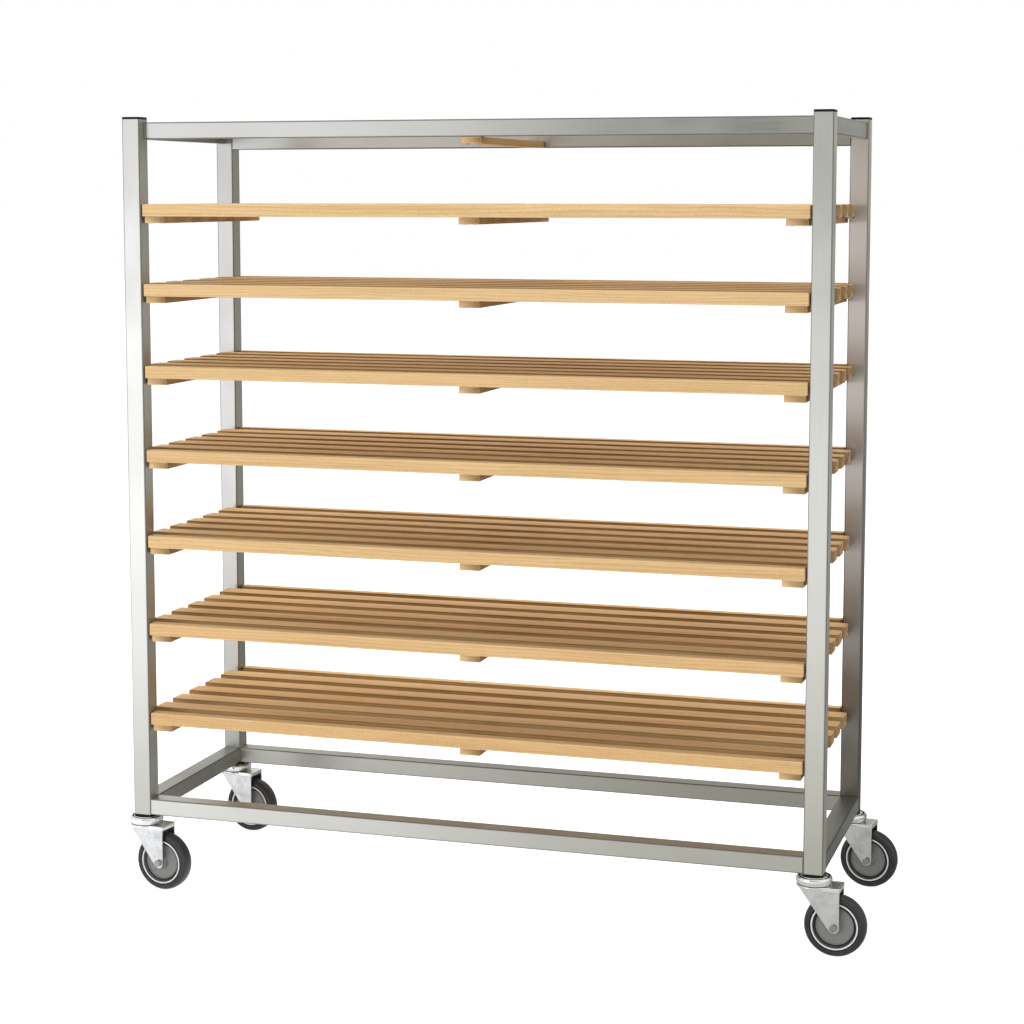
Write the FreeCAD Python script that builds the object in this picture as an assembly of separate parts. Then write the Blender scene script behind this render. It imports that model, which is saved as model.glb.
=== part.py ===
"""Bakery bread rack: a square-tube frame on four swivel casters, with slatted wooden shelves.

Millimetres. X runs along the width, Y from the front to the back and Z up, and the casters stand on Z = 0.
Every piece is modelled from the frame's lower front left corner. The last step moves the whole rack so that
the origin lies on the floor, in the middle of the overall outline.
"""

import FreeCAD, Part
import math
import os

Vector = FreeCAD.Vector

X_AXIS = Vector(1, 0, 0)
Y_AXIS = Vector(0, 1, 0)
Z_AXIS = Vector(0, 0, 1)

# ---- frame ----
RACK_WIDTH = 1500.0          # over the posts
RACK_DEPTH = 510.0           # over the posts
POST_LENGTH = 1493.0
POST_SIZE = 40.0             # square tube
POST_WALL = 2.0
TUBE_CORNER = 3.0            # outer corner radius of every tube
BOTTOM_RAIL_HEIGHT = 35.0
BOTTOM_RAIL_DEPTH = 40.0
TOP_RAIL_HEIGHT = 35.0
TOP_RAIL_DEPTH = 20.0
RAIL_WALL = 1.5
TOP_RAIL_DROP = 6.0          # post top down to the rails
TOP_RAIL_SETBACK = 20.0      # front and rear rails behind the faces of the posts
TOP_SIDE_SETBACK = 4.0       # side rails inside the outer faces of the posts
CAP_THICKNESS = 5.0
CAP_ROUNDING = 2.0
CAP_PLUG_LENGTH = 22.0
PLUG_CLEARANCE = 0.3         # each side, plug to tube wall

# ---- wooden bar under the top rails ----
TOP_BAR_WIDTH = 44.0
TOP_BAR_HEIGHT = 14.0
TOP_BAR_ROUNDING = 1.5
SCREW_RADIUS = 2.0
SCREW_CLEARANCE = 0.05
SCREW_HEAD_RADIUS = 4.5
SCREW_HEAD_HEIGHT = 2.0
SCREW_SPACING = 24.0
SCREW_GRIP = 25.0            # length in the end grain of the bar
SCREW_TIP = 5.0              # past the wall of the front rail

# ---- shelves, numbered from the top ----
SHELF_COUNT = 7
TOP_SHELF_DROP = 203.0       # post top down to the underside of the first shelf's slats
FIRST_SPACING = 168.0        # first shelf down to the second
SPACING_STEP = 5.5           # each lower space is this much higher, for the larger loaves
SLAT_COUNT = 7
SLAT_THICKNESS = 26.0
SLAT_ROUNDING = 3.0
OUTER_SLAT_DEPTH = 28.0      # front and rear slats, which lie between the posts
INNER_SLAT_DEPTH = 52.0
SHELF_END_GAP = 4.0          # outer slats to the posts
INNER_SLAT_REACH = 15.0      # inner slats past the inner faces of the posts
BATTEN_WIDTH = 44.0
BATTEN_HEIGHT = 14.0
BATTEN_ROUNDING = 1.5
BATTEN_INSET = 3.0           # outer battens inside the ends of the outer slats
BATTEN_SETBACK = 5.0         # batten ends behind the faces of the outer slats
MIDDLE_BATTEN_OFFSET = 16.0  # middle batten and top bar, right of the middle of the rack
LUG_WIDTH = 10.0
LUG_THICKNESS = 5.0
LUG_LENGTH = 40.0
LUG_INSET = 2.0              # lug behind the inner face of its post

# ---- casters ----
WHEEL_DIAMETER = 125.0
WHEEL_WIDTH = 32.0
TREAD_ROUNDING = 8.0
CASTER_TRAIL = 44.0          # axle behind the swivel axis
CROWN_CLEARANCE = 13.5       # wheel to the crown of the fork
CROWN_THICKNESS = 4.0
CROWN_RADIUS = 33.0
FORK_SHEET = 3.0
FORK_SIDE_GAP = 6.0          # wheel to the cheeks of the fork
FORK_BEND = 5.0              # outer bend radius between crown and cheeks
FORK_FRONT = 28.0            # front edge of the cheeks ahead of the swivel axis
CHEEK_END_RADIUS = 11.0
HEAD_GAP = 1.5               # crown to the lip of the head
HEAD_HEIGHT = 16.0
HEAD_RADIUS = 36.0
HEAD_ROUNDING = 11.0
HEAD_WALL = 2.5
SOCKET_FLANGE = 5.0
SOCKET_LENGTH = 46.0
STEM_RADIUS = 6.0
STEM_LENGTH = 38.0
STEM_CLEARANCE = 0.1
KINGPIN_RADIUS = 7.0
KINGPIN_CLEARANCE = 0.1
KINGPIN_NUT_RADIUS = 12.0
KINGPIN_NUT_HEIGHT = 5.0
KINGPIN_NUT_GAP = 0.5
BALL_RADIUS = 3.0
BALL_CIRCLE = 20.0
BALL_COUNT = 16
BALL_CLEARANCE = 0.3
GROOVE_DEPTH = 1.2
RACE_LAND = 1.5              # metal outside the ball groove
AXLE_RADIUS = 5.0
AXLE_CLEARANCE = 0.05
AXLE_FLATS = 14.0            # across the flats of the bolt head and the nut
AXLE_HEAD_HEIGHT = 6.0
AXLE_NUT_HEIGHT = 7.0
AXLE_TIP = 2.0               # thread past the nut
BUSH_WALL = 2.5
BUSH_CLEARANCE = 0.05        # radial running clearance of the wheel
HUB_SIDE_GAP = 2.0           # hub boss to the cheeks
HUB_BOSS_WALL = 6.0
HUB_WEB_THICKNESS = 18.0
HUB_DISH = 4.0               # radial run of the slopes at the boss and the rim
HUB_RIM_WALL = 3.0
TYRE_SEAT_RADIUS = 46.0
RIM_LIP_HEIGHT = 2.0         # rim lips outside the tyre seat
RIM_LIP_WIDTH = 2.5
RIM_LIP_PROUD = 0.5          # lips past the side of the tyre

# swing of each caster about its swivel axis, in degrees, from straight to the right
CASTER_SWING = {
    "front_left": -7.0,
    "front_right": -2.0,
    "rear_left": -7.0,
    "rear_right": -7.0,
}

# ---- levels and places that follow from the sizes ----
AXLE_HEIGHT = WHEEL_DIAMETER / 2
CROWN_UNDERSIDE = WHEEL_DIAMETER + CROWN_CLEARANCE
CROWN_TOP = CROWN_UNDERSIDE + CROWN_THICKNESS
HEAD_LIP = CROWN_TOP + HEAD_GAP
HEAD_TOP = HEAD_LIP + HEAD_HEIGHT
POST_BOTTOM = HEAD_TOP + SOCKET_FLANGE
POST_TOP = POST_BOTTOM + POST_LENGTH
TOP_RAIL_TOP = POST_TOP - TOP_RAIL_DROP
TOP_RAIL_UNDERSIDE = TOP_RAIL_TOP - TOP_RAIL_HEIGHT
TOP_BAR_UNDERSIDE = TOP_RAIL_UNDERSIDE - TOP_BAR_HEIGHT
TOP_SHELF_UNDERSIDE = POST_TOP - TOP_SHELF_DROP
REAR_RAIL_FACE = RACK_DEPTH - TOP_RAIL_SETBACK - TOP_RAIL_DEPTH
INNER_SLATS = SLAT_COUNT - 2
SLAT_GAP = (RACK_DEPTH - 2 * OUTER_SLAT_DEPTH - INNER_SLATS * INNER_SLAT_DEPTH) / (SLAT_COUNT - 1)
INNER_LEFT = POST_SIZE
INNER_RIGHT = RACK_WIDTH - POST_SIZE
RAIL_SPAN_X = RACK_WIDTH - 2 * POST_SIZE
RAIL_SPAN_Y = RACK_DEPTH - 2 * POST_SIZE
MIDDLE_BATTEN_X = RACK_WIDTH / 2 + MIDDLE_BATTEN_OFFSET
PLUG_SIZE = POST_SIZE - 2 * POST_WALL - 2 * PLUG_CLEARANCE

POSTS = {
    "front_left": Vector(0, 0, 0),
    "front_right": Vector(RACK_WIDTH - POST_SIZE, 0, 0),
    "rear_left": Vector(0, RACK_DEPTH - POST_SIZE, 0),
    "rear_right": Vector(RACK_WIDTH - POST_SIZE, RACK_DEPTH - POST_SIZE, 0),
}


# ---- shapes ----
def rounded_bar(corner, size, radius, axis):
    """Box from its lowest corner, with the four edges along the axis rounded."""
    box = Part.makeBox(size.x, size.y, size.z, corner)
    along = [edge for edge in box.Edges if abs(edge.tangentAt(edge.FirstParameter).dot(axis)) > 0.99]
    return box.makeFillet(radius, along)


def tube(corner, size, wall, axis):
    """Rectangular tube, open at both ends, along the axis."""
    across = Vector(1, 1, 1) - axis
    bore_corner = corner + across * wall
    bore_size = size - across * (2 * wall)
    bore = rounded_bar(bore_corner, bore_size, TUBE_CORNER - wall, axis)
    return rounded_bar(corner, size, TUBE_CORNER, axis).cut(bore)


def rod(radius, start, end):
    """Round bar from one point to another."""
    run = end - start
    return Part.makeCylinder(radius, run.Length, start, run)


def hexagon(flats, height, start, direction):
    """Hexagonal prism from a point, for bolt heads and nuts, built about the Y axis."""
    corner = flats / math.sqrt(3)
    points = [
        Vector(corner * math.sin(k * math.pi / 3), 0, corner * math.cos(k * math.pi / 3)) + start
        for k in range(7)
    ]
    return Part.Face(Part.makePolygon(points)).extrude(direction * height)


def turned(edges, centre, axis):
    """Solid of revolution of a closed profile."""
    return Part.Face(Part.Wire(edges)).revolve(centre, axis, 360)


def lines(points):
    """Straight edges through a run of points."""
    return [Part.makeLine(a, b) for a, b in zip(points, points[1:])]


def arc(centre, radius, start, end, across, up):
    """Arc edge in the plane of two directions, between two angles in degrees."""
    def point(angle):
        turn = math.radians(angle)
        return centre + across * (radius * math.cos(turn)) + up * (radius * math.sin(turn))
    return Part.Arc(point(start), point((start + end) / 2), point(end)).toShape()


def one(*solids):
    """Several solids fused into one."""
    return solids[0].multiFuse(list(solids[1:])).removeSplitter()


# ---- frame ----
def post(corner):
    """Upright from the caster socket to the cap."""
    foot = corner + Z_AXIS * POST_BOTTOM
    return tube(foot, Vector(POST_SIZE, POST_SIZE, POST_LENGTH), POST_WALL, Z_AXIS)


def post_cap(corner):
    """Plastic cap: a thin head on the end of the tube and a plug inside it."""
    head = rounded_bar(
        corner + Z_AXIS * POST_TOP, Vector(POST_SIZE, POST_SIZE, CAP_THICKNESS), TUBE_CORNER, Z_AXIS
    )
    rim = [edge for edge in head.Edges if edge.BoundBox.ZMin > POST_TOP + CAP_THICKNESS / 2]
    inset = POST_WALL + PLUG_CLEARANCE
    plug = Part.makeBox(
        PLUG_SIZE, PLUG_SIZE, CAP_PLUG_LENGTH, corner + Vector(inset, inset, POST_TOP - CAP_PLUG_LENGTH)
    )
    return one(head.makeFillet(CAP_ROUNDING, rim), plug)


def bottom_rails():
    """Rails between the posts, flush with their outer faces and lower ends."""
    height, depth = BOTTOM_RAIL_HEIGHT, BOTTOM_RAIL_DEPTH
    along_x = Vector(RAIL_SPAN_X, depth, height)
    along_y = Vector(depth, RAIL_SPAN_Y, height)
    return {
        "bottom_rail_front": tube(Vector(POST_SIZE, 0, POST_BOTTOM), along_x, RAIL_WALL, X_AXIS),
        "bottom_rail_rear": tube(
            Vector(POST_SIZE, RACK_DEPTH - depth, POST_BOTTOM), along_x, RAIL_WALL, X_AXIS
        ),
        "bottom_rail_left": tube(Vector(0, POST_SIZE, POST_BOTTOM), along_y, RAIL_WALL, Y_AXIS),
        "bottom_rail_right": tube(
            Vector(RACK_WIDTH - depth, POST_SIZE, POST_BOTTOM), along_y, RAIL_WALL, Y_AXIS
        ),
    }


def top_rails():
    """Slimmer rails between the post tops. The rear one is as much higher as the wooden bar is thick."""
    height, depth = TOP_RAIL_HEIGHT, TOP_RAIL_DEPTH
    front = tube(
        Vector(POST_SIZE, TOP_RAIL_SETBACK, TOP_RAIL_UNDERSIDE),
        Vector(RAIL_SPAN_X, depth, height), RAIL_WALL, X_AXIS,
    )
    rear = tube(
        Vector(POST_SIZE, REAR_RAIL_FACE, TOP_BAR_UNDERSIDE),
        Vector(RAIL_SPAN_X, depth, height + TOP_BAR_HEIGHT), RAIL_WALL, X_AXIS,
    )
    holes = [rod(SCREW_RADIUS + SCREW_CLEARANCE, start, end) for start, end in screw_runs()]
    side = Vector(depth, RAIL_SPAN_Y, height)
    left_corner = Vector(TOP_SIDE_SETBACK, POST_SIZE, TOP_RAIL_UNDERSIDE)
    right_corner = Vector(RACK_WIDTH - TOP_SIDE_SETBACK - depth, POST_SIZE, TOP_RAIL_UNDERSIDE)
    return {
        "top_rail_front": front.cut(holes),
        "top_rail_rear": rear.cut(holes),
        "top_rail_left": tube(left_corner, side, RAIL_WALL, Y_AXIS),
        "top_rail_right": tube(right_corner, side, RAIL_WALL, Y_AXIS),
    }


def screw_runs():
    """Start, under the head, and tip of each screw that holds the wooden bar."""
    front_y = TOP_RAIL_SETBACK + TOP_RAIL_DEPTH / 2
    rear_y = REAR_RAIL_FACE + TOP_RAIL_DEPTH
    runs = []
    for side in (-1, 1):
        x = MIDDLE_BATTEN_X + side * SCREW_SPACING / 2
        tip = TOP_RAIL_UNDERSIDE + RAIL_WALL + SCREW_TIP
        runs.append((Vector(x, front_y, TOP_BAR_UNDERSIDE), Vector(x, front_y, tip)))
        level = TOP_BAR_UNDERSIDE + TOP_BAR_HEIGHT / 2
        runs.append((Vector(x, rear_y, level), Vector(x, REAR_RAIL_FACE - SCREW_GRIP, level)))
    return runs


def top_bar():
    """Wooden bar under the front rail, with its rear end against the rear rail."""
    corner = Vector(MIDDLE_BATTEN_X - TOP_BAR_WIDTH / 2, TOP_RAIL_SETBACK, TOP_BAR_UNDERSIDE)
    size = Vector(TOP_BAR_WIDTH, REAR_RAIL_FACE - TOP_RAIL_SETBACK, TOP_BAR_HEIGHT)
    bar = rounded_bar(corner, size, TOP_BAR_ROUNDING, Y_AXIS)
    return bar.cut([rod(SCREW_RADIUS + SCREW_CLEARANCE, start, end) for start, end in screw_runs()])


def top_bar_screws():
    """Two screws up into the front rail and two through the rear rail."""
    screws = []
    for start, end in screw_runs():
        outward = (start - end).normalize()
        shank = rod(SCREW_RADIUS, start, end)
        head = rod(SCREW_HEAD_RADIUS, start, start + outward * SCREW_HEAD_HEIGHT)
        screws.append(one(shank, head))
    return Part.makeCompound(screws)


# ---- shelves ----
def shelf_underside(number):
    """Level of the underside of a shelf's slats, counted from the top shelf, which is number 1."""
    steps = number - 1
    drop = steps * FIRST_SPACING + SPACING_STEP * steps * (steps - 1) / 2
    return TOP_SHELF_UNDERSIDE - drop


def slats(level):
    """Long slats. The front and rear ones fit between the posts, and the others reach past them."""
    solids = []
    front = 0.0
    for index in range(SLAT_COUNT):
        outer = index in (0, SLAT_COUNT - 1)
        depth = OUTER_SLAT_DEPTH if outer else INNER_SLAT_DEPTH
        left = INNER_LEFT + SHELF_END_GAP if outer else INNER_LEFT - INNER_SLAT_REACH
        size = Vector(RACK_WIDTH - 2 * left, depth, SLAT_THICKNESS)
        solids.append(rounded_bar(Vector(left, front, level), size, SLAT_ROUNDING, X_AXIS))
        front += depth + SLAT_GAP
    return Part.makeCompound(solids)


def battens(level):
    """Left, middle and right battens across the undersides of the slats."""
    end = INNER_LEFT + SHELF_END_GAP + BATTEN_INSET
    lefts = (end, MIDDLE_BATTEN_X - BATTEN_WIDTH / 2, RACK_WIDTH - end - BATTEN_WIDTH)
    size = Vector(BATTEN_WIDTH, RACK_DEPTH - 2 * BATTEN_SETBACK, BATTEN_HEIGHT)
    return Part.makeCompound([
        rounded_bar(Vector(left, BATTEN_SETBACK, level - BATTEN_HEIGHT), size, BATTEN_ROUNDING, Y_AXIS)
        for left in lefts
    ])


def shelf_lugs():
    """Flat lugs on the posts, four to a shelf, under the ends of the first and last inner slats."""
    solids = []
    lefts = (INNER_LEFT - LUG_INSET - LUG_WIDTH, INNER_RIGHT + LUG_INSET)
    fronts = (POST_SIZE, RACK_DEPTH - POST_SIZE - LUG_LENGTH)
    for number in range(1, SHELF_COUNT + 1):
        level = shelf_underside(number) - LUG_THICKNESS
        for left in lefts:
            for front in fronts:
                corner = Vector(left, front, level)
                solids.append(Part.makeBox(LUG_WIDTH, LUG_LENGTH, LUG_THICKNESS, corner))
    return Part.makeCompound(solids)


# ---- casters, built about the swivel axis with the wheel behind it along +X ----
FORK_INNER = WHEEL_WIDTH + 2 * FORK_SIDE_GAP
FORK_OUTER = FORK_INNER + 2 * FORK_SHEET
FORK_REACH = CASTER_TRAIL + CHEEK_END_RADIUS
HEAD_CEILING = HEAD_TOP - HEAD_WALL
GROOVE_RADIUS = BALL_RADIUS + BALL_CLEARANCE
BALL_LEVEL = HEAD_CEILING + GROOVE_DEPTH - GROOVE_RADIUS
RACE_TOP = BALL_LEVEL - GROOVE_RADIUS + GROOVE_DEPTH
RACE_RADIUS = BALL_CIRCLE + BALL_RADIUS + RACE_LAND
BUSH_RADIUS = AXLE_RADIUS + AXLE_CLEARANCE + BUSH_WALL
AXLE = Vector(CASTER_TRAIL, 0, AXLE_HEIGHT)


def ball_groove():
    """Ring that cuts the ball grooves in the head and the fork."""
    return Part.makeTorus(BALL_CIRCLE, GROOVE_RADIUS, Vector(0, 0, BALL_LEVEL))


def caster_socket():
    """Plastic insert: a plug in the post, a flange under it and a bore for the stem."""
    half = PLUG_SIZE / 2
    flange = rounded_bar(
        Vector(-POST_SIZE / 2, -POST_SIZE / 2, HEAD_TOP),
        Vector(POST_SIZE, POST_SIZE, SOCKET_FLANGE), TUBE_CORNER, Z_AXIS,
    )
    plug = Part.makeBox(PLUG_SIZE, PLUG_SIZE, SOCKET_LENGTH, Vector(-half, -half, POST_BOTTOM))
    top = Vector(0, 0, POST_BOTTOM + SOCKET_LENGTH)
    return one(flange, plug).cut(rod(STEM_RADIUS + STEM_CLEARANCE, Vector(0, 0, HEAD_TOP), top))


def caster_head():
    """Fixed half of the swivel: stem, domed cover with the upper ball race, kingpin and its nut."""
    shoulder = HEAD_RADIUS - HEAD_ROUNDING
    bend_level = HEAD_TOP - HEAD_ROUNDING
    bend = Vector(shoulder, 0, bend_level)
    inner_rounding = HEAD_ROUNDING - HEAD_WALL
    inner_radius = HEAD_RADIUS - HEAD_WALL
    edges = lines([Vector(0, 0, HEAD_CEILING), Vector(0, 0, HEAD_TOP), Vector(shoulder, 0, HEAD_TOP)])
    edges.append(arc(bend, HEAD_ROUNDING, 90, 0, X_AXIS, Z_AXIS))
    edges += lines([
        Vector(HEAD_RADIUS, 0, bend_level),
        Vector(HEAD_RADIUS, 0, HEAD_LIP),
        Vector(inner_radius, 0, HEAD_LIP),
        Vector(inner_radius, 0, bend_level),
    ])
    edges.append(arc(bend, inner_rounding, 0, 90, X_AXIS, Z_AXIS))
    edges += lines([Vector(shoulder, 0, HEAD_CEILING), Vector(0, 0, HEAD_CEILING)])
    cover = turned(edges, Vector(0, 0, 0), Z_AXIS).cut(ball_groove())
    nut_bottom = CROWN_UNDERSIDE - KINGPIN_NUT_GAP - KINGPIN_NUT_HEIGHT
    stem = rod(STEM_RADIUS, Vector(0, 0, HEAD_CEILING), Vector(0, 0, HEAD_TOP + STEM_LENGTH))
    kingpin = rod(KINGPIN_RADIUS, Vector(0, 0, nut_bottom), Vector(0, 0, HEAD_TOP - HEAD_WALL / 2))
    nut = rod(KINGPIN_NUT_RADIUS, Vector(0, 0, nut_bottom), Vector(0, 0, nut_bottom + KINGPIN_NUT_HEIGHT))
    return one(cover, stem, kingpin, nut)


def fork_side():
    """Side outline of the fork, from the crown down to the round ends of the cheeks, as a solid."""
    front = Vector(-FORK_FRONT, 0, CROWN_TOP)
    back = Vector(FORK_REACH, 0, CROWN_TOP)
    run = front - AXLE
    bearing = math.degrees(math.atan2(run.z, run.x))
    touch = bearing + math.degrees(math.acos(CHEEK_END_RADIUS / run.Length))
    end = arc(AXLE, CHEEK_END_RADIUS, 360, touch, X_AXIS, Z_AXIS)
    leave = AXLE + X_AXIS * CHEEK_END_RADIUS
    meet = AXLE + Vector(math.cos(math.radians(touch)), 0, math.sin(math.radians(touch))) * CHEEK_END_RADIUS
    outline = Part.Wire(lines([front, back, leave]) + [end] + lines([meet, front]))
    side = Part.Face(outline).extrude(Y_AXIS * FORK_OUTER)
    side.translate(Y_AXIS * (-FORK_OUTER / 2))
    return side


def caster_fork():
    """Pressed fork: a channel cut to the side outline, a round crown and the lower ball race."""
    length = FORK_FRONT + FORK_REACH
    top_edge = Vector(-FORK_FRONT, -FORK_OUTER / 2, -CROWN_TOP)
    outside = rounded_bar(top_edge, Vector(length, FORK_OUTER, 2 * CROWN_TOP), FORK_BEND, X_AXIS)
    inside = rounded_bar(
        Vector(-FORK_FRONT, -FORK_INNER / 2, -CROWN_UNDERSIDE),
        Vector(length, FORK_INNER, 2 * CROWN_UNDERSIDE), FORK_BEND - FORK_SHEET, X_AXIS,
    )
    channel = outside.cut(inside).common(fork_side())
    crown = rod(CROWN_RADIUS, Vector(0, 0, CROWN_UNDERSIDE), Vector(0, 0, CROWN_TOP))
    race = rod(RACE_RADIUS, Vector(0, 0, CROWN_UNDERSIDE), Vector(0, 0, RACE_TOP))
    kingpin_hole = rod(
        KINGPIN_RADIUS + KINGPIN_CLEARANCE, Vector(0, 0, CROWN_UNDERSIDE), Vector(0, 0, RACE_TOP)
    )
    half = Y_AXIS * (FORK_OUTER / 2)
    axle_hole = rod(AXLE_RADIUS + AXLE_CLEARANCE, AXLE - half, AXLE + half)
    return one(channel, crown, race).cut([kingpin_hole, ball_groove(), axle_hole])


def caster_balls():
    """Ring of bearing balls between the head and the fork."""
    ball = Part.makeSphere(BALL_RADIUS, Vector(BALL_CIRCLE, 0, BALL_LEVEL))
    balls = []
    for index in range(BALL_COUNT):
        copy = ball.copy()
        copy.rotate(Vector(0, 0, 0), Z_AXIS, 360 * index / BALL_COUNT)
        balls.append(copy)
    return Part.makeCompound(balls)


def caster_axle():
    """Axle bolt through both cheeks, and its nut."""
    cheek = Y_AXIS * (FORK_OUTER / 2)
    near, far = AXLE - cheek, AXLE + cheek
    head = hexagon(AXLE_FLATS, AXLE_HEAD_HEIGHT, near, -Y_AXIS)
    tip = far + Y_AXIS * (AXLE_NUT_HEIGHT + AXLE_TIP)
    nut = hexagon(AXLE_FLATS, AXLE_NUT_HEIGHT, far, Y_AXIS)
    nut = nut.cut(rod(AXLE_RADIUS + AXLE_CLEARANCE, far, tip))
    return Part.makeCompound([one(head, rod(AXLE_RADIUS, near, tip)), nut])


def caster_bush():
    """Steel sleeve on the axle, clamped between the cheeks, on which the wheel turns."""
    half = Y_AXIS * (FORK_INNER / 2)
    return rod(BUSH_RADIUS, AXLE - half, AXLE + half).cut(
        rod(AXLE_RADIUS + AXLE_CLEARANCE, AXLE - half, AXLE + half)
    )


def both_sides(half_profile):
    """Closed run of points from a profile's +Y half, as (radius, y), and its mirror image."""
    mirrored = [(radius, -y) for radius, y in reversed(half_profile)]
    loop = half_profile + mirrored + half_profile[:1]
    return [AXLE + Vector(radius, y, 0) for radius, y in loop]


def caster_hub():
    """Moulded hub: boss, dished web and a rim with a lip on each side of the tyre."""
    bore = BUSH_RADIUS + BUSH_CLEARANCE
    boss = bore + HUB_BOSS_WALL
    rim = TYRE_SEAT_RADIUS - HUB_RIM_WALL
    boss_end = FORK_INNER / 2 - HUB_SIDE_GAP
    web = HUB_WEB_THICKNESS / 2
    lip_face = WHEEL_WIDTH / 2 + RIM_LIP_PROUD
    lip_back = lip_face - RIM_LIP_WIDTH
    lip = TYRE_SEAT_RADIUS + RIM_LIP_HEIGHT
    half = [
        (bore, boss_end), (boss, boss_end), (boss + HUB_DISH, web), (rim - HUB_DISH, web),
        (rim, lip_face), (lip, lip_face), (lip, lip_back), (TYRE_SEAT_RADIUS, lip_back),
    ]
    return turned(lines(both_sides(half)), AXLE, Y_AXIS)


def caster_tyre():
    """Solid rubber tyre on the hub's seat, with rounded shoulders."""
    radius = WHEEL_DIAMETER / 2
    side = WHEEL_WIDTH / 2
    lip_back = side + RIM_LIP_PROUD - RIM_LIP_WIDTH
    lip = TYRE_SEAT_RADIUS + RIM_LIP_HEIGHT
    shoulder = radius - TREAD_ROUNDING
    flat = side - TREAD_ROUNDING

    def at(r, y):
        return AXLE + Vector(r, y, 0)

    seat = [
        at(shoulder, -side), at(lip, -side), at(lip, -lip_back), at(TYRE_SEAT_RADIUS, -lip_back),
        at(TYRE_SEAT_RADIUS, lip_back), at(lip, lip_back), at(lip, side), at(shoulder, side),
    ]
    edges = lines(seat)
    edges.append(arc(at(shoulder, flat), TREAD_ROUNDING, 90, 0, X_AXIS, Y_AXIS))
    edges += lines([at(radius, flat), at(radius, -flat)])
    edges.append(arc(at(shoulder, -flat), TREAD_ROUNDING, 0, -90, X_AXIS, Y_AXIS))
    return turned(edges, AXLE, Y_AXIS)


def under_post(shape, corner, swing):
    """Copy of a caster piece, swung about its swivel axis and set under the middle of a post."""
    placed = shape.copy()
    placed.rotate(Vector(0, 0, 0), Z_AXIS, swing)
    placed.translate(corner + Vector(POST_SIZE / 2, POST_SIZE / 2, 0))
    return placed


def casters():
    """Nodes of the four casters. The sockets do not swing and share one node."""
    pieces = {
        "fork": caster_fork(),
        "balls": caster_balls(),
        "axle": caster_axle(),
        "bush": caster_bush(),
        "hub": caster_hub(),
        "tyre": caster_tyre(),
    }
    head = caster_head()
    socket = caster_socket()
    nodes = {"caster_sockets": Part.makeCompound([under_post(socket, c, 0) for c in POSTS.values()])}
    for place, corner in POSTS.items():
        nodes[f"caster_{place}_head"] = under_post(head, corner, 0)
        for piece, shape in pieces.items():
            nodes[f"caster_{place}_{piece}"] = under_post(shape, corner, CASTER_SWING[place])
    return nodes


# ---- the whole rack ----
def rack():
    """All nodes, in the frame's own place."""
    nodes = {f"post_{place}": post(corner) for place, corner in POSTS.items()}
    nodes["post_caps"] = Part.makeCompound([post_cap(corner) for corner in POSTS.values()])
    nodes.update(bottom_rails())
    nodes.update(top_rails())
    nodes["top_bar"] = top_bar()
    nodes["top_bar_screws"] = top_bar_screws()
    nodes["shelf_lugs"] = shelf_lugs()
    for number in range(1, SHELF_COUNT + 1):
        level = shelf_underside(number)
        nodes[f"shelf_{number}_slats"] = slats(level)
        nodes[f"shelf_{number}_battens"] = battens(level)
    nodes.update(casters())
    return nodes


def main():
    nodes = rack()
    box = Part.makeCompound(list(nodes.values())).optimalBoundingBox(False, False)
    to_origin = Vector(-(box.XMin + box.XMax) / 2, -(box.YMin + box.YMax) / 2, 0)
    print(f"frame corner at {to_origin.x:.3f}, {to_origin.y:.3f}; outline {box}")
    os.makedirs("parts", exist_ok=True)
    for name, shape in nodes.items():
        shape.translate(to_origin)
        shape.exportStep(f"parts/{name}.step")
        if not shape.isValid():
            raise ValueError(f"{name} is not valid")
    print(f"{len(nodes)} nodes, {sum(len(shape.Solids) for shape in nodes.values())} solids")


main()
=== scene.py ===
"""Bakery bread rack: beech slats, brushed stainless tube and plated casters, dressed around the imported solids.

Metres, in the rack's own frame: X along the width, front towards -Y, Z up and the floor at 0.
"""

import math

import bmesh
import bpy
import numpy as np
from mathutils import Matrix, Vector

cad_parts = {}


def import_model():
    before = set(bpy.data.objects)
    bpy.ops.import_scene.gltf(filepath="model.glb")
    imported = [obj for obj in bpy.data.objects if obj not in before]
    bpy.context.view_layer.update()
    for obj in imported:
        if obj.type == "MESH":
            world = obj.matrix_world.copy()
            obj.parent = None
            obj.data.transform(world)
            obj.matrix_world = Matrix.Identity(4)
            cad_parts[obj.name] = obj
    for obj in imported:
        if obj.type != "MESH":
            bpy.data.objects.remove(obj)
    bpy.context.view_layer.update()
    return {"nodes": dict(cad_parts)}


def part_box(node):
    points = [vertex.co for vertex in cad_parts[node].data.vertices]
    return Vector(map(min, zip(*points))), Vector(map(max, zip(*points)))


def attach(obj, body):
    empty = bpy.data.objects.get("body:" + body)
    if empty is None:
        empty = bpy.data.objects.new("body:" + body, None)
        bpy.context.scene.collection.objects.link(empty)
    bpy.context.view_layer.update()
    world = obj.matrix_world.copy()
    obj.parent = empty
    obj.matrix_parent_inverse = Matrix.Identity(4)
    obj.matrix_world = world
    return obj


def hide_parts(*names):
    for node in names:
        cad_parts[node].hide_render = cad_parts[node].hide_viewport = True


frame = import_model()

MM = 0.001
X, Z = np.eye(3)[[0, 2]]
SHELVES = range(1, 8)
CORNERS = ("front_left", "front_right", "rear_left", "rear_right")
RAILS = {"front": 0, "rear": 0, "left": 1, "right": 1}  # the axis that each rail runs along
SWING = {"front_left": -7.0, "front_right": -2.0, "rear_left": -7.0, "rear_right": -7.0}  # casters, in degrees
SHARP_TURN = math.radians(50)


# ---- places read from the solids ----
def corners_of(node):
    """Lowest and highest corner of a node, as arrays."""
    low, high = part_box(node)
    return np.array(low), np.array(high)


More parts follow.
